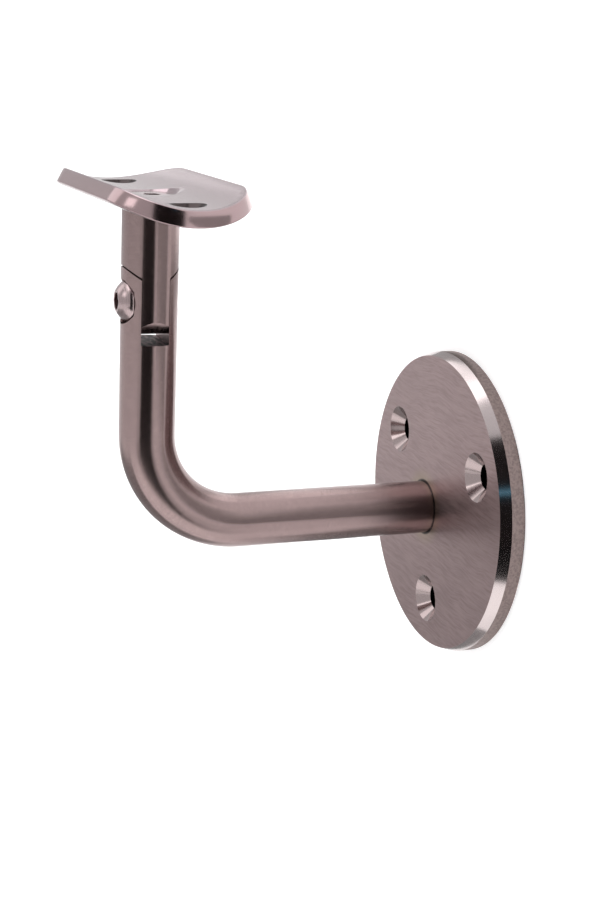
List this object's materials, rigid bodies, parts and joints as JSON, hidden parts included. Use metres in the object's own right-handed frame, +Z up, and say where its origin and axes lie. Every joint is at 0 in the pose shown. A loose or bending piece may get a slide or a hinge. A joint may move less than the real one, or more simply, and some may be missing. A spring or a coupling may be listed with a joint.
{
  "type": "handrail bracket",
  "caption": "Wall bracket for a handrail: round screw plate, bent round arm and a curved rail saddle on a stem that tilts in a forked knuckle.",
  "frame": {"origin": "centre of the wall plate's back face, which lies on the wall", "axes": "+Z up, +Y into the wall, +X along the wall in the direction of the rail"},
  "size_m": [0.0803, 0.1031, 0.1248],
  "materials": {
    "plate_steel": "brushed face and turned, polished bevel",
    "weld_steel": "ground weld",
    "rod_steel": "fine brushed round bar",
    "screw_steel": "smooth stainless screw",
    "stem_steel": "fine brushed round bar",
    "saddle_screw_steel": "smooth stainless screw",
    "saddle_steel": "fine brushed sheet with polished edges"
  },
  "bodies": {
    "bracket": {"wall_plate": "plate_steel", "root_weld": "weld_steel", "arm": "rod_steel", "pivot_screw": "screw_steel"},
    "stem": {"saddle_stem": "stem_steel", "saddle_screw": "saddle_screw_steel"},
    "saddle": {"saddle_plate": "saddle_steel"}
  },
  "joints": [
    {"name": "knuckle_tilt", "type": "hinge", "parent": "bracket", "child": "stem", "pos_m": [-0.0052, -0.084, 0.055], "axis": [0, -1, 0], "range_deg": [-60, 60]},
    {"name": "saddle_turn", "type": "hinge", "parent": "stem", "child": "saddle", "pos_m": [-0.0052, -0.084, 0.081], "axis": [0, 0, 1], "continuous": true}
  ]
}
